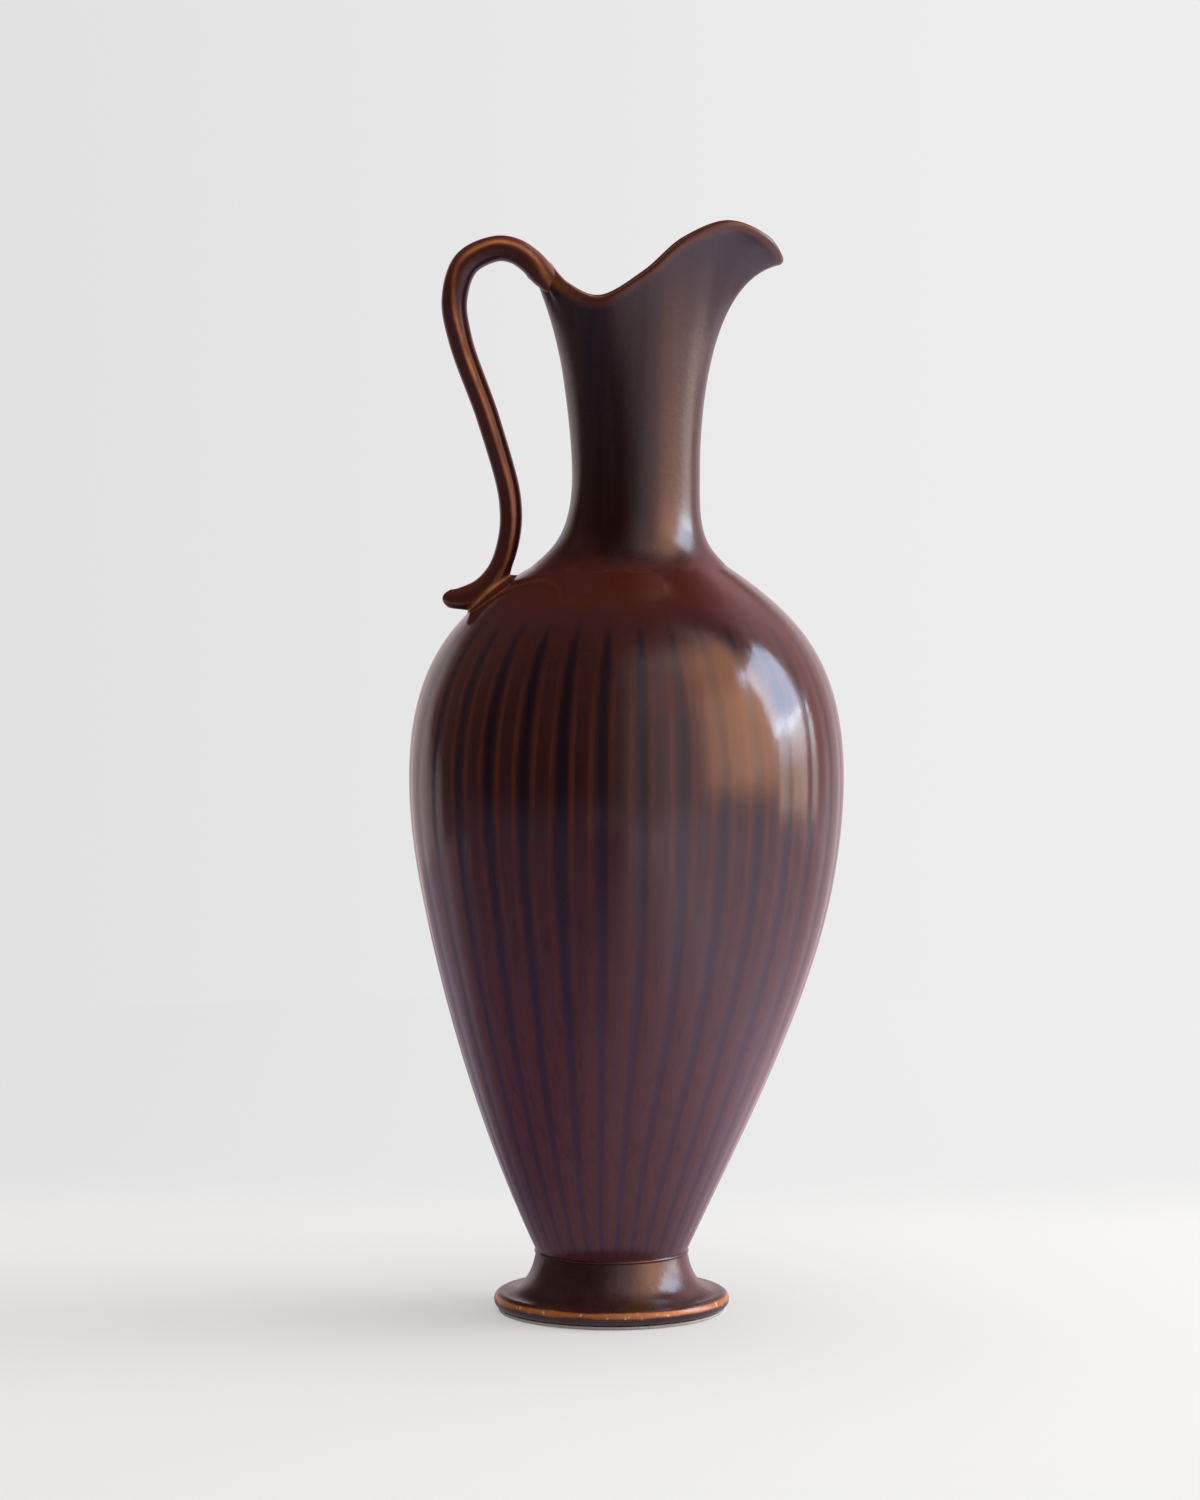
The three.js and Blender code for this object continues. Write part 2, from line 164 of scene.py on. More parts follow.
# puts a grid of points (rows, columns, 3) in millimetres into a mesh; rows that shrink to a point become
# poles, and a loop joins its last row to its first
def makePiece(name, grid, node, material, marks=None, loop=False):
    grid = grid.copy()
    grid[..., 0] += driftAt(grid[..., 2])
    rows, columns = grid.shape[:2]
    index = np.arange(rows * columns).reshape(rows, columns)
    pole = np.linalg.norm(grid - grid[:, :1], axis=2).max(axis=1) < poleSize
    index[pole] = index[pole][:, :1]
    index = np.concatenate([index, index[:, :1]], axis=1)
    if loop:
        index = np.concatenate([index, index[:1]], axis=0)
    corners = [index[:-1, :-1], index[:-1, 1:], index[1:, 1:], index[1:, :-1]]
    quads = np.stack(corners, axis=-1).reshape(-1, 4)
    used, flat = np.unique(quads, return_inverse=True)
    quads = flat.reshape(-1, 4)
    startPole = quads[:, 0] == quads[:, 1]
    endPole = quads[:, 2] == quads[:, 3]
    faces = quads[~startPole & ~endPole].tolist()
    faces += quads[startPole][:, [0, 2, 3]].tolist() + quads[endPole][:, [0, 1, 2]].tolist()
    points = grid.reshape(-1, 3)[used] * millimetre
    mesh = bpy.data.meshes.new(name)
    mesh.from_pydata(np.zeros((len(used), 3)).tolist(), [], faces)
    mesh.vertices.foreach_set("co", points.astype(np.float32).ravel())
    mesh.polygons.foreach_set("use_smooth", np.ones(len(faces), bool))
    for mark, values in (marks or {}).items():
        layer = mesh.attributes.new(mark, 'FLOAT', 'POINT')
        layer.data.foreach_set("value", values.reshape(-1)[used].astype(np.float32))
    mesh.materials.append(material)
    mesh.validate()
    mesh.set_sharp_from_angle(angle=sharpFrom)
    mesh.update()
    piece = bpy.data.objects.new(name, mesh)
    scene.collection.objects.link(piece)
    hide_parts(node)
    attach(piece, "root")
    print(name, "faces:", len(faces))


# small helpers for node trees: one node with its sockets set or linked
def addNode(tree, kind, values=None, **settings):
    made = tree.nodes.new(kind)
    for key, value in settings.items():
        setattr(made, key, value)
    for key, value in (values or {}).items():
        if isinstance(value, bpy.types.NodeSocket):
            tree.links.new(value, made.inputs[key])
        else:
            made.inputs[key].default_value = value
    return made


# an S-curve from start at low to end at high
def ramped(tree, value, low, high, start=0.0, end=1.0):
    sockets = {"Value": value, "From Min": low, "From Max": high, "To Min": start, "To Max": end}
    made = addNode(tree, "ShaderNodeMapRange", sockets, interpolation_type='SMOOTHSTEP')
    return made.outputs["Result"]


def worked(tree, operation, a, b=0.0):
    return addNode(tree, "ShaderNodeMath", {0: a, 1: b}, operation=operation).outputs[0]


def product(tree, value, *others):
    for other in others:
        value = worked(tree, 'MULTIPLY', value, other)
    return value


# a value moved up and down by a noise about its middle
def swayed(tree, value, cloud, amount):
    centred = worked(tree, 'SUBTRACT', cloud, 0.5)
    return worked(tree, 'ADD', value, worked(tree, 'MULTIPLY', centred, amount))


def tinted(tree, share, a, b):
    made = addNode(tree, "ShaderNodeMix", {0: share, 6: a, 7: b}, data_type='RGBA')
    return made.outputs[2]


def noise(tree, place, scale, detail=3.0, rough=0.55):
    sockets = {"Vector": place, "Scale": scale, "Detail": detail, "Roughness": rough}
    return addNode(tree, "ShaderNodeTexNoise", sockets).outputs["Fac"]


# noise drawn out along the pot's height
def streaked(tree, place, scale):
    drawn = addNode(tree, "ShaderNodeMapping", {"Vector": place, "Scale": scale}).outputs["Vector"]
    return noise(tree, drawn, 1.0)


def marked(tree, name):
    return addNode(tree, "ShaderNodeAttribute", attribute_name=name).outputs["Fac"]


def axisOf(tree, place, axis):
    return addNode(tree, "ShaderNodeSeparateXYZ", {0: place}).outputs[axis]


# an empty glaze: its tree, a shader with the gloss set on its own socket, and the place on the piece
def startGlaze(name, g):
    material = bpy.data.materials.new(name)
    material.use_nodes = True
    tree = material.node_tree
    tree.nodes.clear()
    shader = addNode(tree, "ShaderNodeBsdfPrincipled", {"IOR": g["ior"]})
    out = addNode(tree, "ShaderNodeOutputMaterial")
    tree.links.new(shader.outputs[0], out.inputs["Surface"])
    place = addNode(tree, "ShaderNodeTexCoord").outputs["Object"]
    return material, tree, shader, place


# links colour, a roughness that follows the sheen, and a fine relief
def endGlaze(tree, shader, g, colour, sheen, relief):
    strength, depth = g["bump"]
    bump = addNode(tree, "ShaderNodeBump", {"Strength": strength, "Distance": depth, "Height": relief})
    tree.links.new(colour, shader.inputs["Base Color"])
    tree.links.new(ramped(tree, sheen, *g["rough"]), shader.inputs["Roughness"])
    tree.links.new(bump.outputs[0], shader.inputs["Normal"])


bodyGlaze = dict(ior=1.66, rib=(0.048, 0.0125, 0.0105, 1), ribLow=(0.110, 0.029, 0.047, 1),
                 edge=(0.115, 0.030, 0.018, 1), pool=(0.014, 0.006, 0.010, 1),
                 poolLow=(0.050, 0.018, 0.050, 1), iron=(0.066, 0.012, 0.008, 1),
                 patchScale=45.0, streakScale=(420.0, 420.0, 14.0), speckScale=900.0, grainScale=260.0,
                 coolLift=0.03, coolHeight=(0.178, 0.085), edgeOuter=(0.002, 0.06), edgeInner=(0.50, 0.06),
                 edgeHeight=(0.196, 0.170), edgePatch=(0.25, 0.65, 0.30, 0.75),
                 streakAt=(0.45, 0.75, 0.0, 0.35), speckAt=(0.62, 0.8, 0.0, 0.3),
                 poolSway=0.5, poolAt=(0.15, 0.95), ironSway=0.018, ironHeight=(0.1975, 0.2085, 0.0, 0.9),
                 streakRelief=0.6, rough=(0.3, 0.8, 0.12, 0.20), bump=(0.06, 0.0005))


# ribs red-brown with redder edges, blue-black where the glaze pools, iron red under the neck; lighter and
# more violet towards the foot, partly the glaze's own tone and partly painted light reflected up from the
# pale table
def makeBodyGlaze():
    g = bodyGlaze
    material, tree, shader, place = startGlaze("ribbed_body_glaze", g)
    height, pool = axisOf(tree, place, "Z"), marked(tree, "pool")
    patches = noise(tree, place, g["patchScale"], detail=4.0)
    streaks = streaked(tree, place, g["streakScale"])
    specks = noise(tree, place, g["speckScale"], detail=2.0)
    # towards the foot ribs and pools turn lighter and more violet: partly the glaze's own tone, partly
    # painted light from the table
    lifted = worked(tree, 'ADD', height, worked(tree, 'MULTIPLY', patches, g["coolLift"]))
    low = ramped(tree, lifted, *g["coolHeight"])
    ribs = tinted(tree, low, g["rib"], g["ribLow"])
    edges = product(tree, ramped(tree, pool, *g["edgeOuter"]), ramped(tree, pool, *g["edgeInner"]),
                    ramped(tree, height, *g["edgeHeight"]), ramped(tree, patches, *g["edgePatch"]))
    ribs = tinted(tree, edges, ribs, g["edge"])
    ribs = tinted(tree, ramped(tree, streaks, *g["streakAt"]), ribs, g["pool"])
    ribs = tinted(tree, ramped(tree, specks, *g["speckAt"]), ribs, g["iron"])
    pools = tinted(tree, low, g["pool"], g["poolLow"])
    inGroove = ramped(tree, swayed(tree, pool, streaks, g["poolSway"]), *g["poolAt"])
    colour = tinted(tree, inGroove, ribs, pools)
    underNeck = ramped(tree, swayed(tree, height, patches, g["ironSway"]), *g["ironHeight"])
    colour = tinted(tree, underNeck, colour, g["iron"])
    grain = noise(tree, place, g["grainScale"])
    relief = worked(tree, 'ADD', product(tree, streaks, g["streakRelief"]), grain)
    endGlaze(tree, shader, g, colour, streaks, relief)
    return material


neckGlaze = dict(ior=1.66, dark=(0.017, 0.004, 0.003, 1), warm=(0.032, 0.008, 0.006, 1),
                 violet=(0.024, 0.014, 0.040, 1), lip=(0.115, 0.026, 0.011, 1),
                 lipBack=(0.240, 0.066, 0.022, 1), crest=(0.070, 0.020, 0.012, 1),
                 iron=(0.062, 0.012, 0.008, 1), patchScale=60.0, streakScale=(300.0, 300.0, 12.0),
                 grainScale=700.0, warmAt=(0.35, 0.75), rimLift=1.2, beakDrop=(22.0, 4.0),
                 beakForward=(0.004, 0.034, 0.1, 0.9), lipForward=(-0.010, -0.022),
                 lipDrop=(5.6, 2.6, 0.0, 0.9), crestDrop=(2.6, 1.3), ironSway=0.004,
                 ironHeight=(0.2185, 0.2138, 0.0, 0.85), streakRelief=0.5,
                 rough=(0.3, 0.75, 0.22, 0.30), bump=(0.08, 0.0004))


# dark brown satin with soft upright streaks, violet on the beak, red-orange just under the rim's crest
def makeNeckGlaze():
    g = neckGlaze
    material, tree, shader, place = startGlaze("satin_neck_glaze", g)
    forward, height = axisOf(tree, place, "X"), axisOf(tree, place, "Z")
    patches = noise(tree, place, g["patchScale"], detail=4.0)
    streaks = streaked(tree, place, g["streakScale"])
    colour = tinted(tree, ramped(tree, streaks, *g["warmAt"]), g["dark"], g["warm"])
    fromRim = worked(tree, 'ADD', marked(tree, "fromRim"), worked(tree, 'MULTIPLY', patches, g["rimLift"]))
    onBeak = product(tree, ramped(tree, fromRim, *g["beakDrop"]), ramped(tree, forward, *g["beakForward"]))
    colour = tinted(tree, onBeak, colour, g["violet"])
    lip = tinted(tree, ramped(tree, forward, *g["lipForward"]), g["lip"], g["lipBack"])
    colour = tinted(tree, ramped(tree, fromRim, *g["lipDrop"]), colour, lip)
    nearBase = ramped(tree, swayed(tree, height, patches, g["ironSway"]), *g["ironHeight"])
    colour = tinted(tree, nearBase, colour, g["iron"])
    colour = tinted(tree, ramped(tree, fromRim, *g["crestDrop"]), colour, g["crest"])
    grain = noise(tree, place, g["grainScale"], detail=2.0)
    relief = worked(tree, 'ADD', product(tree, streaks, g["streakRelief"]), grain)
    endGlaze(tree, shader, g, colour, patches, relief)
    return material


handleGlaze = dict(ior=1.46, dark=(0.078, 0.018, 0.013, 1), amber=(0.920, 0.300, 0.105, 1),
                   plumSheen=(0.048, 0.028, 0.050, 1), amberCreaseGlint=(1.0, 0.40, 0.13, 1), patchScale=90.0,
                   grainScale=420.0, unevenAt=(0.30, 0.62, 0.45, 1.0), bowAt=(0.2, 0.9, 0.0, 0.8),
                   rough=(0.3, 0.75, 0.17, 0.25), bump=(0.06, 0.0004))


# dark brown rod; a thin amber line along its keel that is partly glaze breaking and partly a painted
# highlight, a painted plum sheen inside the bow, and an amber line in the crease at its foot that is partly
# glaze and partly a painted glint
def makeHandleGlaze():
    g = handleGlaze
    material, tree, shader, place = startGlaze("amber_handle_glaze", g)
    patches = noise(tree, place, g["patchScale"], detail=4.0)
    uneven = ramped(tree, patches, *g["unevenAt"])
    # painted plum sheen inside the bow
    colour = tinted(tree, ramped(tree, marked(tree, "inBow"), *g["bowAt"]), g["dark"], g["plumSheen"])
    # thin amber line on the keel: partly glaze breaking, partly a painted highlight
    colour = tinted(tree, product(tree, marked(tree, "ridge"), uneven), colour, g["amber"])
    # amber crease: partly glaze, partly a painted glint
    colour = tinted(tree, product(tree, marked(tree, "amberCreaseGlint"), uneven), colour, g["amberCreaseGlint"])
    endGlaze(tree, shader, g, colour, patches, noise(tree, place, g["grainScale"]))
    return material


footGlaze = dict(ior=1.66, dark=(0.038, 0.013, 0.014, 1), warm=(0.056, 0.022, 0.013, 1),
                 edge=(0.500, 0.150, 0.030, 1), paintedGlints=(0.95, 0.66, 0.30, 1), patchScale=110.0,
                 dotScale=420.0, grainScale=500.0, warmAt=(0.35, 0.75), edgeSway=0.7, edgeAt=(0.45, 0.95),
                 dotAt=(0.63, 0.70), rough=(0.3, 0.75, 0.22, 0.30), bump=(0.2, 0.0004))


# olive-brown sweep; the rolled edge breaks orange, with a row of small painted highlights on it
def makeFootGlaze():
    g = footGlaze
    material, tree, shader, place = startGlaze("foot_glaze", g)
    patches = noise(tree, place, g["patchScale"], detail=4.0)
    dots = noise(tree, place, g["dotScale"], detail=2.0)
    colour = tinted(tree, ramped(tree, patches, *g["warmAt"]), g["dark"], g["warm"])
    onEdge = ramped(tree, swayed(tree, marked(tree, "roll"), patches, g["edgeSway"]), *g["edgeAt"])
    colour = tinted(tree, onEdge, colour, g["edge"])
    # painted highlights: bright dots scattered along the orange edge
    colour = tinted(tree, product(tree, ramped(tree, dots, *g["dotAt"]), onEdge), colour, g["paintedGlints"])
    endGlaze(tree, shader, g, colour, patches, noise(tree, place, g["grainScale"]))
    return material


beadGlaze = dict(ior=1.66, dark=(0.050, 0.010, 0.008, 1), red=(0.078, 0.014, 0.009, 1), patchScale=160.0,
                 grainScale=500.0, redAt=(0.4, 0.65), rough=(0.3, 0.75, 0.16, 0.26), bump=(0.2, 0.0004))


# iron red beads and bands of slip under the glaze
def makeBeadGlaze():
    g = beadGlaze
    material, tree, shader, place = startGlaze("iron_red_band_glaze", g)
    patches = noise(tree, place, g["patchScale"])
    colour = tinted(tree, ramped(tree, patches, *g["redAt"]), g["dark"], g["red"])
    endGlaze(tree, shader, g, colour, patches, noise(tree, place, g["grainScale"]))
    return material


bareClay = dict(ior=1.45, pale=(0.86, 0.82, 0.76, 1), tan=(0.72, 0.65, 0.57, 1), patchScale=150.0,
                grainScale=900.0, tanAt=(0.4, 0.8), rough=(0.3, 0.75, 0.75, 0.9), bump=(0.35, 0.0003))


# pale dry clay with a fine grain
def makeBareClay():
    g = bareClay
    material, tree, shader, place = startGlaze("bare_clay", g)
    grain = noise(tree, place, g["grainScale"], detail=4.0)
    patches = noise(tree, place, g["patchScale"], detail=4.0)
    colour = tinted(tree, ramped(tree, patches, *g["tanAt"]), g["pale"], g["tan"])
    endGlaze(tree, shader, g, colour, grain, grain)
    return material


footGlazeMaterial = makeFootGlaze()
bodyGlazeMaterial = makeBodyGlaze()
neckGlazeMaterial = makeNeckGlaze()
handleGlazeMaterial = makeHandleGlaze()
beadGlazeMaterial = makeBeadGlaze()
bareClayMaterial = makeBareClay()
print("glazes ready")


ring = dict(height=0.9, radius=32.4, width=7.0, cornerRows=8, columns=192)


# flat-bottomed ring: a low rectangle with both lower corners eased by quarter curves
def makeFootRing():
    outside, height, rows = ring["radius"], ring["height"], ring["cornerRows"]
    inside, ease = outside - ring["width"], height / 2
    outer = cornerPoints((outside - ease, 0.0), (outside, 0.0), (outside, height), rows)
    inner = cornerPoints((inside, height), (inside, 0.0), (inside + ease, 0.0), rows)
    grid = turnedGrid(np.vstack([outer, inner]), ring["columns"])
    makePiece("foot_ring_clay", grid, "foot_ring", bareClayMaterial, loop=True)


foot = dict(radius=33.6, edge=2.3, waist=21.7, pullIn=0.62, pullOut=0.1, pullDown=0.55, wall=4.5,
            hollowOut=0.6, hollowUp=0.6, breakTurn=0.42, breakWide=0.55, rollRows=24, sweepRows=40,
            hollowRows=24, columns=224)


# foot: half-round edge, concave cubic up to the waist, domed hollow underneath; the mark is a bell round
# the outermost part of the edge
def makeFoot():
    f, base, top = foot, ring["height"], stand["footTop"]
    edgeX, edgeZ = f["radius"] - f["edge"], base + f["edge"]
    hollowX, hollowTop = ring["radius"] - ring["width"], top - f["wall"]
    turn = np.linspace(-math.pi / 2, math.pi / 2, f["rollRows"])
    roll = np.stack([edgeX + f["edge"] * np.cos(turn), edgeZ + f["edge"] * np.sin(turn)], axis=1)
    sweepX, rise = edgeX - f["waist"], top - edgeZ - f["edge"]
    sweep = cubicPoints((edgeX, edgeZ + f["edge"]), (edgeX - sweepX * f["pullIn"], edgeZ + f["edge"]),
                        (f["waist"] + sweepX * f["pullOut"], top - rise * f["pullDown"]),
                        (f["waist"], top), f["sweepRows"])
    hollow = cubicPoints((0, hollowTop), (hollowX * f["hollowOut"], hollowTop),
                         (hollowX, base + (hollowTop - base) * f["hollowUp"]),
                         (hollowX, base), f["hollowRows"])
    profile = np.vstack([[[hollowX, base]], roll, sweep[1:], [[0, top]], hollow[:-1]])
    onRoll = np.zeros(len(profile))
    onRoll[1:len(roll) + 1] = np.exp(-((turn - f["breakTurn"]) / f["breakWide"]) ** 2)
    grid = turnedGrid(profile, f["columns"])
    marks = {"roll": np.repeat(onRoll[:, None], f["columns"], axis=1)}
    makePiece("foot_flared", grid, "pedestal_foot", footGlazeMaterial, marks, loop=True)


bead = dict(bulge=0.35, rows=9, columns=224)


# the luting bead: a disc whose rim swells by a parabola
def makeFootBead():
    low, high = stand["footTop"], stand["bodyBase"]
    t = np.linspace(0.0, 1.0, bead["rows"])
    swell = np.stack([foot["waist"] + bead["bulge"] * 4 * t * (1 - t), mixed(low, high, t)], axis=1)
    grid = turnedGrid(np.vstack([[[0, low]], swell, [[0, high]]]), bead["columns"])
    makePiece("foot_bead_slip", grid, "foot_bead", beadGlazeMaterial)


# shares are places across one rib, closest together in its groove; sway holds the size, the waves round
# the pot and the climb in millimetres of each wave in the grooves
body = dict(belly=61.7, top=27.7, wall=3.6, floor=5.0, baseSlope=0.4575, basePull=0.205, bellyPullDown=0.35,
            bellyPullUp=0.585, shoulderPullOut=0.56, shoulderPullDown=0.203, mouth=23.7,
            rowsLow=76, rowsHigh=44, linerStep=3, ribs=34, phase=-0.141, scallop=0.0036, softGroove=0.24,
            fadeBottom=2.5, fadeTop=(20.0, 3.5), poolTop=(25.0, -5.0), shoulderEase=0.75, wander=0.05,
            sway=((1.0, 2, 41.0), (1.0, 5, -23.0), (0.6, 9, 13.0)),
            uneven=0.2, unevenWaves=4, unevenStart=1.0, unevenClimb=37.0,
            stripeLow=0.20, stripeHigh=0.17, stripeZ=(40.0, 170.0),
            shares=(-0.42, -0.34, -0.27, -0.21, -0.165, -0.125, -0.085, -0.045, 0.0,
                    0.045, 0.085, 0.125, 0.165, 0.21, 0.27, 0.34, 0.42, 0.5))


# control points of the cubic from the belly up to the neck
def shoulderControls():
    b, belly, top = body, stand["bellyZ"], stand["bodyTop"]
    shoulder = top - belly
    hold = mixed(b["top"], b["belly"], b["shoulderPullOut"])
    return np.array([(b["belly"], belly), (b["belly"], belly + shoulder * b["bellyPullUp"]),
                     (hold, top - shoulder * b["shoulderPullDown"]), (b["top"], top)])


# outline of the body's outside from foot to neck, and the slope at each point
def bodyOutline():
    b, base, belly = body, stand["bodyBase"], stand["bellyZ"]
    rise = belly - base
    lift = rise * b["basePull"]
    lower = cubicPoints((foot["waist"], base), (foot["waist"] + lift * b["baseSlope"], base + lift),
                        (b["belly"], belly - rise * b["bellyPullDown"]), (b["belly"], belly), b["rowsLow"])
    upper = cubicPoints(*shoulderControls(), b["rowsHigh"])
    outline = np.vstack([lower, upper[1:]])
    slope = np.gradient(outline, axis=0)
    slope /= np.linalg.norm(slope, axis=1)[:, None]
    return outline, slope


# convex ribs between narrow grooves: radius = outline (1 - depth across), where across is
# 1 - sqrt((sin^2 + soft^2) / (1 + soft^2)) and the depth fades out at the ends and eases on the shoulder;
# each groove wanders a little, as a cut made by hand does
def bodyGrid():
    b, base, top = body, stand["bodyBase"], stand["bodyTop"]
    outline, slope = bodyOutline()
    pitch = fullTurn / b["ribs"]
    place = (np.arange(b["ribs"])[:, None] + np.array(b["shares"])).ravel()
    share = np.tile(b["shares"], b["ribs"])
    soft = b["softGroove"] ** 2
    across = 1 - np.sqrt((np.sin(math.pi * share) ** 2 + soft) / (1 + soft))
    r, z = outline[:, :1], outline[:, 1:]
    plain = (place + b["phase"]) * pitch
    sway = sum(size * np.sin(waves * plain + z / climb) for size, waves, climb in b["sway"])
    angle = plain + pitch * b["wander"] * sway / 2
    fade = smoothStep(z, base, base + b["fadeBottom"])
    fade = fade * (1 - smoothStep(z, top - b["fadeTop"][0], top - b["fadeTop"][1]))
    uneven = np.sin(b["unevenWaves"] * angle + b["unevenStart"]) * np.sin(z / b["unevenClimb"])
    uneven = 1.0 + b["uneven"] * uneven
    eased = 1 - b["shoulderEase"] * smoothStep(z, stand["bellyZ"], top - b["fadeTop"][0])
    radius = r * (1 - fade * eased * b["scallop"] * uneven * across)
    upright = np.repeat(z, len(place), axis=1)
    outer = np.stack([radius * np.cos(angle), radius * np.sin(angle), upright], axis=2)
    left = np.stack([-slope[:, 1], slope[:, 0]], axis=1)
    liner = (outline + left * b["wall"])[::b["linerStep"]]
    floorZ = base + b["floor"]
    liner = liner[(liner[:, 1] > floorZ + b["wall"]) & (liner[:, 0] > b["mouth"])][::-1]
    floor = [[foot["waist"] - b["wall"], floorZ], [0, floorZ]]
    inside = np.vstack([[[b["mouth"], top]], liner, floor])
    inner = np.stack([inside[:, :1] * np.cos(plain), inside[:, :1] * np.sin(plain),
                      np.repeat(inside[:, 1:], len(place), axis=1)], axis=2)
    start = np.zeros((1, len(place), 3))
    start[..., 2] = base
    grid = np.concatenate([start, outer, inner], axis=0)
    stripe = mixed(b["stripeLow"], b["stripeHigh"], smoothStep(z, *b["stripeZ"]))
    stripe = np.exp(-(share / stripe) ** 2)
    thin = 1 - smoothStep(z, top - b["poolTop"][0], top - b["poolTop"][1])
    pool = np.zeros(grid.shape[:2])
    pool[1:len(outer) + 1] = fade * thin * stripe
    return grid, pool


# the rim runs from the tip of the beak along one side to the back; pull, share and drop each hold a value
# for the front, the sides and the back
neck = dict(base=26.6, waist=18.05, wall=2.9, basePull=(5.8, 5.25), waistPull=15.0, lip=2.4, lipTip=0.9,
            rowsOut=60, rowsIn=42, lipRows=13, columns=208,
            tip=(41.4, 0, 61.4),
            side=((37.4, 9, 67), (27, 13.5, 71.5), (13.7, 17, 67.2), (2.2, 19, 57.7), (-10, 18.5, 50.8),
                  (-19.9, 9.3, 54.7)),
            back=(-24.7, 0, 60.2),
            pull=(25.2, 20.0, 19.0), share=(0.80, 0.4, 0.08), drop=(5.9, 16.0, 11.0),
            swell=2.9, swellDrop=32.0, swellPower=1.5, swellFrom=(1.0, 6.0), swellWide=6.0)

band = dict(columns=224)


# the luted band under the neck, a low cone with a hole
def makeNeckBand():
    low, high = stand["bodyTop"], stand["neckBase"]
    hole = body["mouth"]
    profile = np.array([[hole, low], [body["top"], low], [neck["base"], high], [hole, high]])
    grid = turnedGrid(profile, band["columns"])
    makePiece("neck_band_slip", grid, "neck_band", beadGlazeMaterial, loop=True)


# each column of the neck runs up under one point of the rim: a cubic from the foot of the neck to its waist,
# a cubic that flares from the waist to the lip in three times as many rows, a half-round lip, and the same
# two cubics down the inside; at the back the wall swells towards the handle by a bell across and a power
# of the way up
def neckGrid():
    n = neck
    near = np.array(n["side"], float)
    rim = np.vstack([[n["tip"]], near, [n["back"]], (near * (1, -1, 1))[::-1]])
    rim[:, 2] += stand["waistZ"]
    rim = smoothLine(rim, n["columns"], closed=True)
    reach, angle = np.hypot(rim[:, 0], rim[:, 1]), np.arctan2(rim[:, 1], rim[:, 0])
    facing = rim[:, 0] / reach
    front, back = np.where(facing > 0, facing ** 2, 0), np.where(facing < 0, facing ** 2, 0)

    def blend(key):
        return front * n[key][0] + (1 - front - back) * n[key][1] + back * n[key][2]

    ridge = np.stack([reach, rim[:, 2]], axis=1)
    hold = np.stack([mixed(reach, n["waist"], blend("share")), rim[:, 2] - blend("drop")], axis=1)
    along = (ridge - hold) / np.linalg.norm(ridge - hold, axis=1)[:, None]
    out = np.stack([along[:, 1], -along[:, 0]], axis=1)
    half = ((n["lip"] + n["lipTip"] * front ** 3) / 2)[:, None]
    lipCentre = ridge - along * half
    flat = np.ones(len(reach))

    def face(inset, lipSide, rows):
        base = np.stack([flat * (n["base"] - inset), flat * stand["neckBase"]], axis=1)
        waist = np.stack([flat * (n["waist"] - inset), flat * stand["waistZ"]], axis=1)
        inward, upward = n["basePull"]
        rise = cubicPoints(base, base + (-inward, upward), waist - (0, n["waistPull"]), waist, rows // 3)
        flare = cubicPoints(waist, waist + np.stack([flat * 0, blend("pull")], axis=1), hold - out * inset,
                            lipCentre + out * lipSide, rows)
        return np.concatenate([rise, flare[1:]], axis=0)

    outside, inside = face(0.0, half, n["rowsOut"]), face(n["wall"], -half, n["rowsIn"])[::-1]
    turn = np.linspace(0.0, math.pi, n["lipRows"])[1:-1, None, None]
    lip = lipCentre + half * (out * np.cos(turn) + along * np.sin(turn))
    wall = np.concatenate([outside, lip, inside], axis=0)
    steps = np.linalg.norm(np.diff(wall, axis=0), axis=2)
    run = np.concatenate([np.zeros((1, len(reach))), np.cumsum(steps, axis=0)])
    fromCrest = run[len(outside) + len(lip) // 2] - run
    grid = np.stack([wall[..., 0] * np.cos(angle), wall[..., 0] * np.sin(angle), wall[..., 1]], axis=2)
    swell = np.clip(1 - fromCrest / n["swellDrop"], 0, 1) ** n["swellPower"]
    swell = swell * smoothStep(fromCrest, *n["swellFrom"])
    grid[..., 0] -= n["swell"] * swell * np.exp(-(grid[..., 1] / n["swellWide"]) ** 2) * (grid[..., 0] < 0)
    return grid, fromCrest


# distances along the handle are in millimetres from its root inside the neck, turns in degrees
handle = dict(length=161.0, behindRim=0.5, belowRim=1.7, rows=220, tipRows=12, tipShare=0.014, sides=64,
              fineRows=2000, bellRows=17, seat=0.7407, keel=0.20, keelSpread=0.012, lineTurn=-14.0,
              at=(0, 9, 16, 21, 25, 30, 40, 50, 62, 75, 106, 138, 147, 153, 157, 161),
              half=(0.8, 1.1, 1.7, 3.1, 3.5, 3.6, 3.65, 3.9, 3.65, 3.35, 3.2, 3.15, 3.2, 3.5, 3.0, 1.9),
              halfWidth=(1.5, 3.4, 5.0, 6.2, 6.3, 5.7, 4.6, 4.0, 3.8, 3.6, 3.4, 3.6, 4.4, 4.6, 3.2, 1.9),
              squareAt=(22, 31, 44), square=(0.6, 0.72, 1.0),
              ridgeAt=(18, 24, 31, 42, 52, 62, 72, 110, 138, 150),
              ridgeTurn=(4, 16, 36, 46, 40, 14, 4, 3, -5, -10),
              amberGlintTone=(0.3, 0.4, 0.65, 1.0, 0.22, 0.5, 1.0, 0.6, 0.5, 0.3),
              rootFade=(13, 22), rootEnd=(46, 62), plumFrom=(32, 44), plumTo=(64, 86),
              bowPoints=((7.0, -24), (5.5, -15), (3.6, -8), (1.1, -3.6), (-1.95, -0.35), (-4.7, 2.2),
                         (-8.85, 4.8), (-14, 5.5), (-22.5, 1.4), (-25.9, -8.5), (-24.3, -20),
                         (-16.4, -42.5)),
              stemPoints=((6.2, 28.5), (6.7, 18), (4.5, 9), (-0.3, 3.1), (-5.6, 1.0), (-10.8, 1.1)))


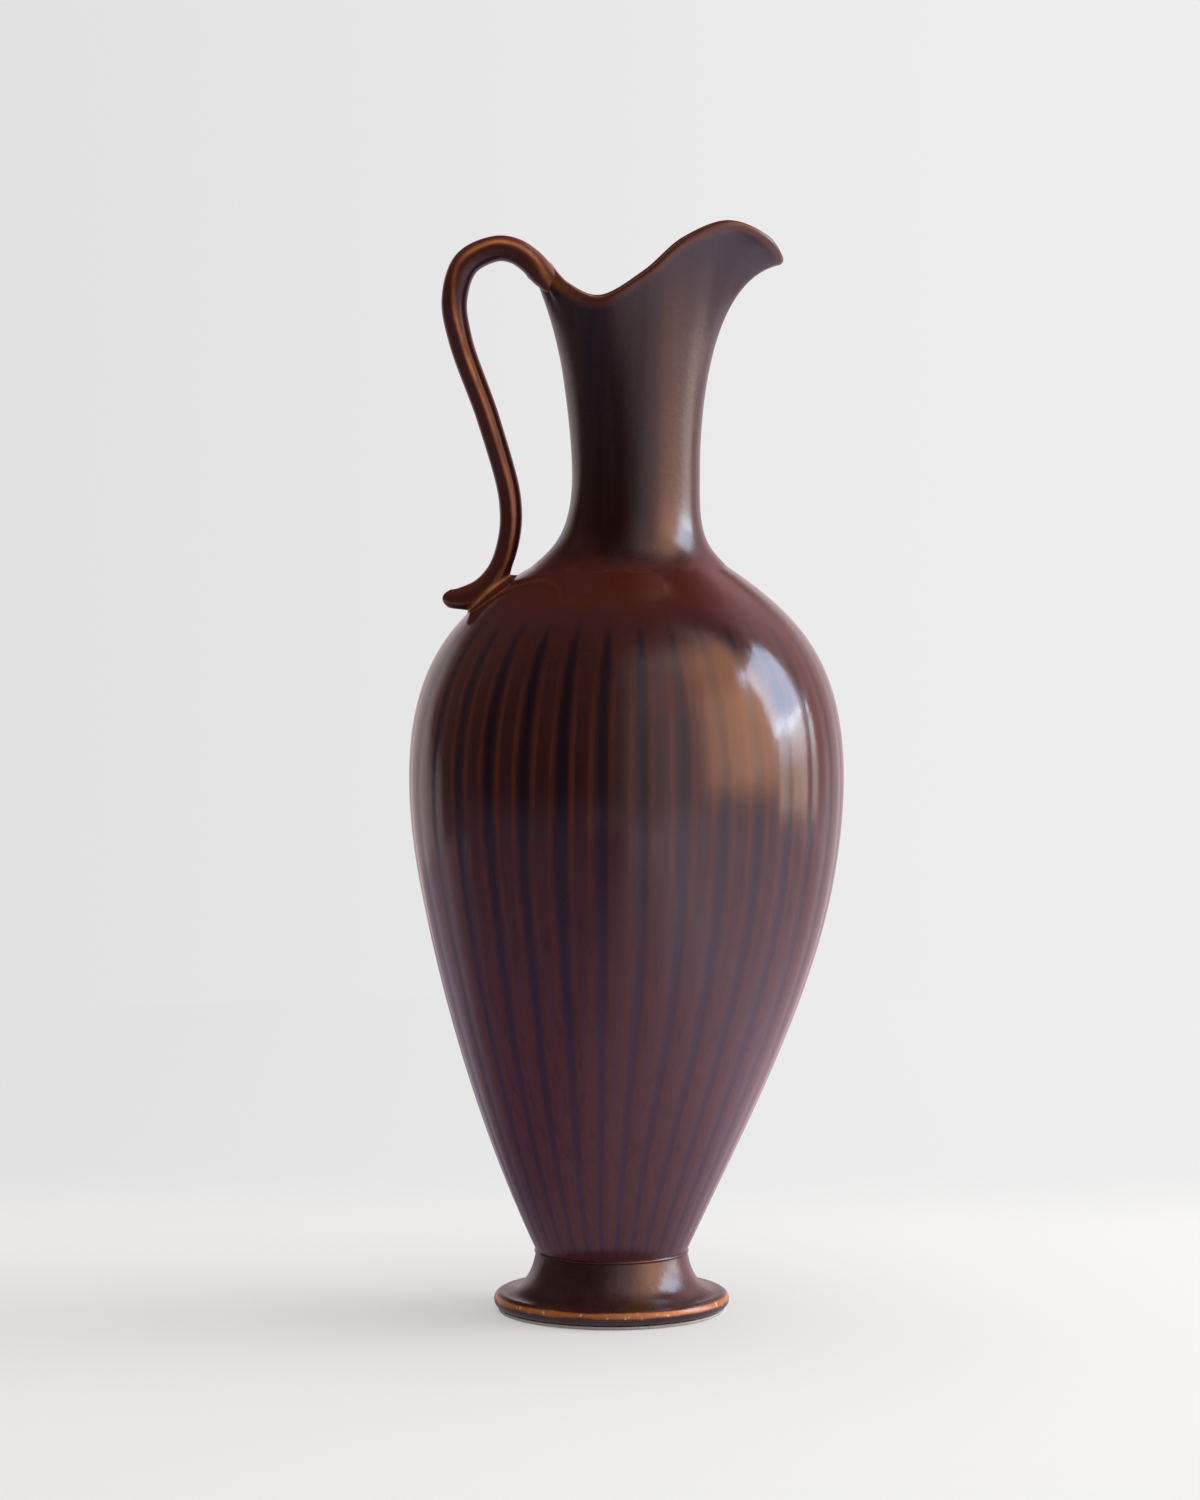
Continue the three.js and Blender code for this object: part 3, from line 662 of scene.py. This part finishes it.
# where the handle is seated on the shoulder: point, direction along and direction off it, in the x-z plane
def shoulderSeat():
    p, t = shoulderControls(), handle["seat"]
    x, z = p[0] * (1 - t) ** 3 + 3 * p[1] * t * (1 - t) ** 2 + 3 * p[2] * t * t * (1 - t) + p[3] * t ** 3
    along = (p[1] - p[0]) * (1 - t) ** 2 + 2 * (p[2] - p[1]) * t * (1 - t) + (p[3] - p[2]) * t * t
    outward, upward = along / np.linalg.norm(along)
    return np.array([-x, 0, z]), np.array([-outward, 0, upward]), np.array([-upward, 0, -outward])


# an oval carried along the handle's line, its half sizes eased between stations: it rises out of the neck's
# back, squarer at its root, fans out under the rim, thins to a rod and draws to a blunt spur
def handleGrid():
    h = handle
    top = np.array([neck["back"][0] - h["behindRim"], stand["waistZ"] + neck["back"][2] - h["belowRim"]])
    seat = shoulderSeat()[0][[0, 2]]
    middle = np.vstack([np.array(h["bowPoints"]) + top, np.array(h["stemPoints"]) + seat])
    fine = smoothLine(np.insert(middle, 1, 0.0, axis=1), h["fineRows"])
    tipTurn = np.linspace(0.0, math.pi / 2, h["tipRows"])
    share = np.linspace(0.0, 1 - h["tipShare"], h["rows"])[:-1]
    share = np.concatenate([share, 1 - h["tipShare"] * (1 - np.sin(tipTurn))])
    cap = np.concatenate([np.ones(h["rows"] - 1), np.cos(tipTurn)])[:, None]
    along = share * h["length"]
    turn = np.linspace(0.0, fullTurn, h["sides"], endpoint=False)
    square = np.interp(along, h["squareAt"], h["square"])[:, None]
    bell = np.hanning(h["bellRows"]) / np.hanning(h["bellRows"]).sum()

    def atShare(values):
        at = share * (len(fine) - 1)
        return np.stack([np.interp(at, np.arange(len(fine)), v) for v in values.T], axis=1)

    def eased(key):
        sizes = np.pad(np.interp(along, h["at"], h[key]), h["bellRows"] // 2, mode="edge")
        return np.convolve(sizes, bell, mode="valid")[:, None]

    def squared(wave):
        return np.sign(wave) * np.abs(wave) ** square

    def keelLine(lean):
        off = 1 - (np.abs(np.cos(turn)) * np.cos(lean) - np.sin(turn) * np.sin(lean))
        return np.exp(-off / h["keelSpread"])

    def firstTwice(rows):
        return np.concatenate([rows[:1], rows])

    path, tangent = atShare(fine), atShare(np.gradient(fine, axis=0))
    tangent /= np.linalg.norm(tangent, axis=1)[:, None]
    across = np.array([0.0, 1.0, 0.0])
    inPlane = np.cross(tangent, across)
    rooted = smoothStep(along, *h["rootFade"])
    lean = np.radians(np.interp(along, h["ridgeAt"], h["ridgeTurn"]))[:, None]
    ridge = keelLine(lean) * rooted[:, None]
    sideways = (eased("halfWidth") + h["keel"] * ridge) * cap * squared(np.cos(turn))
    upDown = (eased("half") + h["keel"] * ridge) * cap * squared(np.sin(turn))
    grid = path[:, None, :] + sideways[..., None] * across + upDown[..., None] * inPlane[:, None, :]
    grid = np.concatenate([np.repeat(path[:1, None], h["sides"], axis=1), grid], axis=0)
    grid[-1] = path[-1]
    # the amber line along the keel is partly glaze breaking and partly a painted highlight; its strength
    # changes along the handle and lineTurn sets it onto the keel's own reflection
    tone = np.interp(along, h["ridgeAt"], h["amberGlintTone"]) * rooted
    line = keelLine(lean + math.radians(h["lineTurn"])) * tone[:, None]
    # painted plum sheen on the inner side of the bow
    plumSheen = smoothStep(along, *h["plumFrom"]) * (1 - smoothStep(along, *h["plumTo"]))
    inBow = np.clip(np.sin(turn), 0, 1) * plumSheen[:, None]
    under = (rooted - smoothStep(along, *h["rootEnd"]))[:, None] * (0.5 + 0.5 * np.sin(turn))
    return grid, firstTwice(line), firstTwice(inBow), firstTwice(under)


pad = dict(slide=3.6, halfLength=9.6, halfWidth=6.6, height=2.1, root=2.0, square=1.25, rows=60, columns=96)


# a low pad of slip laid along the shoulder: an ellipsoid thinned towards its rim, sunk into the body
def padGrid():
    point, along, off = shoulderSeat()
    acrossPad = np.cross(off, along)
    lat = np.linspace(-math.pi / 2, math.pi / 2, pad["rows"])[:, None, None]
    lon = np.linspace(0.0, fullTurn, pad["columns"], endpoint=False)[None, :, None]
    out = np.abs(np.cos(lat)) ** pad["square"]
    up = np.sign(lat) * np.abs(np.sin(lat)) ** pad["square"]
    grid = (point - off * pad["root"] + along * (pad["slide"] + pad["halfLength"] * out * np.cos(lon))
            + acrossPad * pad["halfWidth"] * out * np.sin(lon) + off * (pad["height"] + pad["root"]) * up)
    grid[0], grid[-1] = grid[0, :1], grid[-1, :1]
    return grid


# reaches of the fillets between pieces in millimetres and how strongly they are drawn, with the strength and
# width of the amber lines along the seams, partly glaze and partly painted glint
joint = dict(root=14.0, rootRow=31, rootShare=1.1, rimFade=(0.5, 5.0), under=6.5, underShare=1.9, seam=2.0,
             seamGlintTone=0.28, seat=3.6, pad=1.6, amberCreaseGlint=0.42)

makeFootRing()
makeFoot()
makeFootBead()
makeNeckBand()
bodyPoints, bodyPool = bodyGrid()
neckPoints, belowRim = neckGrid()
handlePoints, amberGlintLine, handleInBow, underRoot = handleGrid()
padPoints = padGrid()
bodySide = slice(1, body["rowsLow"] + body["rowsHigh"])
bodyOuter = bodyPoints[bodySide]
freeHandle, freeWeight = handlePoints[joint["rootRow"]:], underRoot[joint["rootRow"]:]
neckWeight = joint["rootShare"] * smoothStep(belowRim, *joint["rimFade"])
softNeck = liftedTowards(neckPoints, freeHandle, joint["root"], neckWeight, freeWeight)
softHandle = liftedTowards(handlePoints, neckPoints, joint["under"], joint["underShare"] * underRoot)
softHandle = liftedTowards(softHandle, padPoints, joint["seat"])
# along the seam with the neck the amber line goes on faintly, partly glaze and partly painted glint
seamGlint = joint["seamGlintTone"] * (1 - underRoot) ** 2 * creaseMark(softHandle, softNeck, joint["seam"])
amberGlintLine = np.maximum(amberGlintLine, seamGlint)
softPad = liftedTowards(liftedTowards(padPoints, bodyOuter, joint["pad"]), handlePoints, joint["seat"])
softBody = bodyPoints.copy()
softBody[bodySide] = liftedTowards(bodyOuter, padPoints, joint["pad"])
# amber crease lines where handle and pad meet: partly glaze, partly painted glint
handleMarks = {"ridge": amberGlintLine, "inBow": handleInBow,
               "amberCreaseGlint": creaseMark(softHandle, softPad, joint["amberCreaseGlint"])}
padMarks = {"ridge": np.zeros(padPoints.shape[:2]), "inBow": np.zeros(padPoints.shape[:2]),
            "amberCreaseGlint": creaseMark(softPad, softHandle, joint["amberCreaseGlint"])}
makePiece("body_ribbed", softBody, "body", bodyGlazeMaterial, {"pool": bodyPool})
makePiece("neck_with_beak", softNeck, "neck_and_spout", neckGlazeMaterial,
          {"fromRim": np.abs(belowRim)}, loop=True)
makePiece("handle_pulled", softHandle, "handle", handleGlazeMaterial, handleMarks)
makePiece("handle_pad_slip", softPad, "handle_pad", handleGlazeMaterial, padMarks)
print("pieces ready")


# tones that the table and the room share: pale paper, and what the glaze mirrors of the table
studio = dict(paperLeft=(0.765, 0.755, 0.76, 1), paperRight=(0.865, 0.86, 0.86, 1),
              mirrorLeft=(0.15, 0.12, 0.18, 1), mirrorFront=(0.52, 0.37, 0.43, 1),
              mirrorRight=(1.12, 0.92, 1.08, 1))

table = dict(radius=0.66, rows=24, columns=96, tone=(0.755, 0.77, 0.775, 1), bounce=(0.50, 0.49, 0.50, 1),
             fade=(0.20, 0.46), fadeBehind=(0.02, 0.26), paperShare=0.46, paperAcross=(-0.25, 0.25),
             frontAcross=(-0.10, 0.02), rightAcross=(-0.02, 0.17), backAcross=(-0.10, 0.12),
             backFrom=(-0.02, 0.20), backLeft=(0.50, 0.40, 0.47, 1), backRight=(0.95, 0.70, 0.78, 1))


# round pale table; for the camera it takes the paper's tone far from the pot and keeps part of its shade near
# it, and the glaze mirrors it in tones of its own
def makeTable():
    s, t = studio, table
    rows, columns = t["rows"], t["columns"]
    radius = np.linspace(0.0, 1.0, rows)[:, None] * t["radius"]
    turn = np.linspace(0.0, fullTurn, columns, endpoint=False)
    points = np.stack([radius * np.cos(turn), radius * np.sin(turn), 0 * radius * turn], axis=2)
    index = np.arange(rows * columns).reshape(rows, columns)
    index = np.concatenate([index, index[:, :1]], axis=1)
    corners = [index[:-1, :-1], index[1:, :-1], index[1:, 1:], index[:-1, 1:]]
    quads = np.stack(corners, axis=-1).reshape(-1, 4)
    mesh = bpy.data.meshes.new("table")
    mesh.from_pydata(points.reshape(-1, 3).tolist(), [], quads[columns:].tolist())
    floor = bpy.data.objects.new("table", mesh)
    scene.collection.objects.link(floor)
    material = bpy.data.materials.new("pale_table")
    material.use_nodes = True
    tree = material.node_tree
    tree.nodes.clear()
    place = addNode(tree, "ShaderNodeTexCoord").outputs["Object"]
    away = addNode(tree, "ShaderNodeVectorMath", {0: place}, operation='LENGTH').outputs["Value"]
    across, forward = axisOf(tree, place, "X"), axisOf(tree, place, "Y")
    rays = addNode(tree, "ShaderNodeLightPath").outputs
    tone = tinted(tree, rays["Is Camera Ray"], t["bounce"], t["tone"])
    lit = addNode(tree, "ShaderNodeBsdfDiffuse", {"Color": tone}).outputs[0]
    paperTone = tinted(tree, ramped(tree, across, *t["paperAcross"]), s["paperLeft"], s["paperRight"])
    paper = addNode(tree, "ShaderNodeEmission", {"Color": paperTone, "Strength": 1.0}).outputs[0]
    far = worked(tree, 'MAXIMUM', ramped(tree, away, *t["fade"]), ramped(tree, forward, *t["fadeBehind"]))
    share = product(tree, worked(tree, 'MAXIMUM', far, t["paperShare"]), rays["Is Camera Ray"])
    seen = addNode(tree, "ShaderNodeMixShader", {0: share, 1: lit, 2: paper}).outputs[0]
    mirrored = tinted(tree, ramped(tree, across, *t["frontAcross"]), s["mirrorLeft"], s["mirrorFront"])
    mirrored = tinted(tree, ramped(tree, across, *t["rightAcross"]), mirrored, s["mirrorRight"])
    farther = tinted(tree, ramped(tree, across, *t["backAcross"]), t["backLeft"], t["backRight"])
    mirrored = tinted(tree, ramped(tree, forward, *t["backFrom"]), mirrored, farther)
    inGlaze = addNode(tree, "ShaderNodeEmission", {"Color": mirrored, "Strength": 1.0}).outputs[0]
    joined = addNode(tree, "ShaderNodeMixShader", {0: rays["Is Glossy Ray"], 1: seen, 2: inGlaze}).outputs[0]
    out = addNode(tree, "ShaderNodeOutputMaterial")
    tree.links.new(joined, out.inputs["Surface"])
    mesh.materials.append(material)


# an area lamp that shows either in the glaze or on matt surfaces
def addLamp(name, power, size, at, aim, roll, tint, inGlaze):
    lamp = bpy.data.lights.new(name, 'AREA')
    lamp.shape = 'RECTANGLE'
    lamp.size, lamp.size_y = size
    lamp.energy = power
    lamp.color = tint
    holder = bpy.data.objects.new(name, lamp)
    scene.collection.objects.link(holder)
    holder.location = at
    holder.rotation_euler = (Vector(aim) - Vector(at)).to_track_quat('-Z', 'Y').to_euler()
    holder.rotation_euler.rotate_axis('Z', math.radians(roll))
    holder.visible_glossy = inGlaze
    holder.visible_diffuse = not inGlaze
    holder.visible_camera = False


# each part of the room has a tone and the directions between which it fades in; x is right, y is away from
# the viewer, z is up, and east and north are x and y on the level
room = dict(dark=(0.030, 0.022, 0.023, 1), ambient=(0.25, 0.24, 0.235, 1), levelLeast=0.01,
            left=(0.125, 0.075, 0.068, 1), leftX=(-0.25, -0.75), leftY=(-0.3, 0.35),
            wall=(0.80, 0.65, 0.67, 1), wallEast=(-0.36, 0.52), wallNorth=(0.3, 0.0), wallZ=(1.0, 0.82),
            side=(0.95, 0.52, 0.53, 1), sideX=(0.25, 0.55), sideY=(0.15, 0.40), sideZ=(0.95, 0.60),
            belowFront=(-0.45, 0.05), belowRight=(-0.05, 0.60), belowZ=(-0.06, -0.23),
            sky=(1.00, 0.58, 0.60, 1), skyLow=(0.34, 0.50), skyHigh=(0.74, 0.56), skyX=(0.0, 0.45),
            warmEast=(0.50, 0.93), warmNorth=(0.15, -0.10), warmLow=(-0.17, 0.02), warmHigh=(0.94, 0.74),
            glowLow=(4.0, 2.2, 1.55, 1), glowMiddle=(4.1, 2.2, 1.4, 1), glowHigh=(2.8, 1.4, 0.85, 1),
            glowMiddleZ=(0.08, 0.34), glowHighZ=(0.42, 0.64),
            panelNear=(-0.02, 0.06), panelFar=(0.46, 0.40), panelHigh=(0.24, 0.19), panelLow=(-0.20, -0.12),
            panelX=(0.0, 0.3), panelZ=(-0.06, 0.14), panelFoot=(3.3, 2.4, 2.0, 1),
            panelHead=(6.0, 5.6, 5.9, 1),
            backLeft=(0.74, 0.60, 0.61, 1), backRight=(0.98, 0.76, 0.79, 1), backX=(-0.4, 0.4),
            backLower=(0.12, -0.12, 0.0, 0.18), backLeftward=(0.0, -0.4, 0.0, 0.14), backY=(0.72, 0.94),
            backZ=(0.44, 0.18), paperX=(-0.13, 0.13))


# the room as the glaze mirrors it: dark in front, a grey wall and a warm window side to the right, the table
# below and pale paper behind; the camera sees plain paper and matt surfaces a plain ambient tone
def makeRoom():
    s, m = studio, room
    world = bpy.data.worlds.new("room")
    scene.world = world
    world.use_nodes = True
    tree = world.node_tree
    tree.nodes.clear()
    towards = addNode(tree, "ShaderNodeTexCoord").outputs["Generated"]
    x, y, z = (axisOf(tree, towards, axis) for axis in "XYZ")
    level = worked(tree, 'SUBTRACT', 1.0, worked(tree, 'MULTIPLY', z, z))
    level = worked(tree, 'SQRT', worked(tree, 'MAXIMUM', level, m["levelLeast"]))
    east, north = worked(tree, 'DIVIDE', x, level), worked(tree, 'DIVIDE', y, level)

    def within(*limits):
        return product(tree, *(ramped(tree, value, *m[key]) for value, key in limits))

    colour = tinted(tree, within((x, "leftX"), (y, "leftY")), m["dark"], m["left"])
    wall = within((east, "wallEast"), (north, "wallNorth"), (z, "wallZ"))
    colour = tinted(tree, wall, colour, m["wall"])
    colour = tinted(tree, within((x, "sideX"), (y, "sideY"), (z, "sideZ")), colour, m["side"])
    below = tinted(tree, within((x, "belowFront")), s["mirrorLeft"], s["mirrorFront"])
    below = tinted(tree, within((x, "belowRight")), below, s["mirrorRight"])
    colour = tinted(tree, within((z, "belowZ")), colour, below)
    colour = tinted(tree, within((z, "skyLow"), (z, "skyHigh"), (x, "skyX")), colour, m["sky"])
    glow = tinted(tree, within((z, "glowMiddleZ")), m["glowLow"], m["glowMiddle"])
    glow = tinted(tree, within((z, "glowHighZ")), glow, m["glowHigh"])
    warm = within((east, "warmEast"), (north, "warmNorth"), (z, "warmLow"), (z, "warmHigh"))
    colour = tinted(tree, warm, colour, glow)
    panelTone = tinted(tree, within((z, "panelZ")), m["panelFoot"], m["panelHead"])
    panel = within((y, "panelNear"), (y, "panelFar"), (z, "panelHigh"), (z, "panelLow"), (x, "panelX"))
    colour = tinted(tree, panel, colour, panelTone)
    behind = tinted(tree, within((x, "backX")), m["backLeft"], m["backRight"])
    nearer = worked(tree, 'ADD', y, within((z, "backLower")))
    nearer = worked(tree, 'ADD', nearer, within((x, "backLeftward")))
    colour = tinted(tree, within((nearer, "backY"), (z, "backZ")), colour, behind)
    paper = tinted(tree, within((x, "paperX")), s["paperLeft"], s["paperRight"])
    rays = addNode(tree, "ShaderNodeLightPath").outputs
    colour = tinted(tree, rays["Is Glossy Ray"], m["ambient"], colour)
    colour = tinted(tree, rays["Is Camera Ray"], colour, paper)
    light = addNode(tree, "ShaderNodeBackground", {"Color": colour, "Strength": 1.0})
    out = addNode(tree, "ShaderNodeOutputWorld")
    tree.links.new(light.outputs[0], out.inputs["Surface"])


# the window only shows in the glaze, the two soft lamps give the plain light
window = dict(power=11.5, size=(0.80, 0.84), at=(1.38, 0.18, 0.79), aim=(0, 0, 0.18), roll=9.0,
              tint=(0.78, 0.96, 1.24), inGlaze=True)
sideSoft = dict(window, power=13.0, roll=0.0, tint=(0.95, 1.0, 1.06), inGlaze=False)
topSoft = dict(power=52.0, size=(3.0, 3.0), at=(0.45, 0.15, 1.9), aim=(0, 0, 0), roll=0.0,
               tint=(1.05, 1.0, 0.94), inGlaze=False)

makeTable()
makeRoom()
addLamp("window", **window)
addLamp("side_soft", **sideSoft)
addLamp("top_soft", **topSoft)
print("studio ready")


view = dict(at=(-0.00755, -1.650, 0.316), tilt=5.382, lens=140.3, sensor=36.0)
cameraData = bpy.data.cameras.new("camera")
cameraData.sensor_fit = 'VERTICAL'
cameraData.sensor_height = view["sensor"]
cameraData.lens = view["lens"]
camera = bpy.data.objects.new("camera", cameraData)
scene.collection.objects.link(camera)
camera.location = view["at"]
camera.rotation_euler = (math.radians(90 - view["tilt"]), 0, 0)
scene.camera = camera
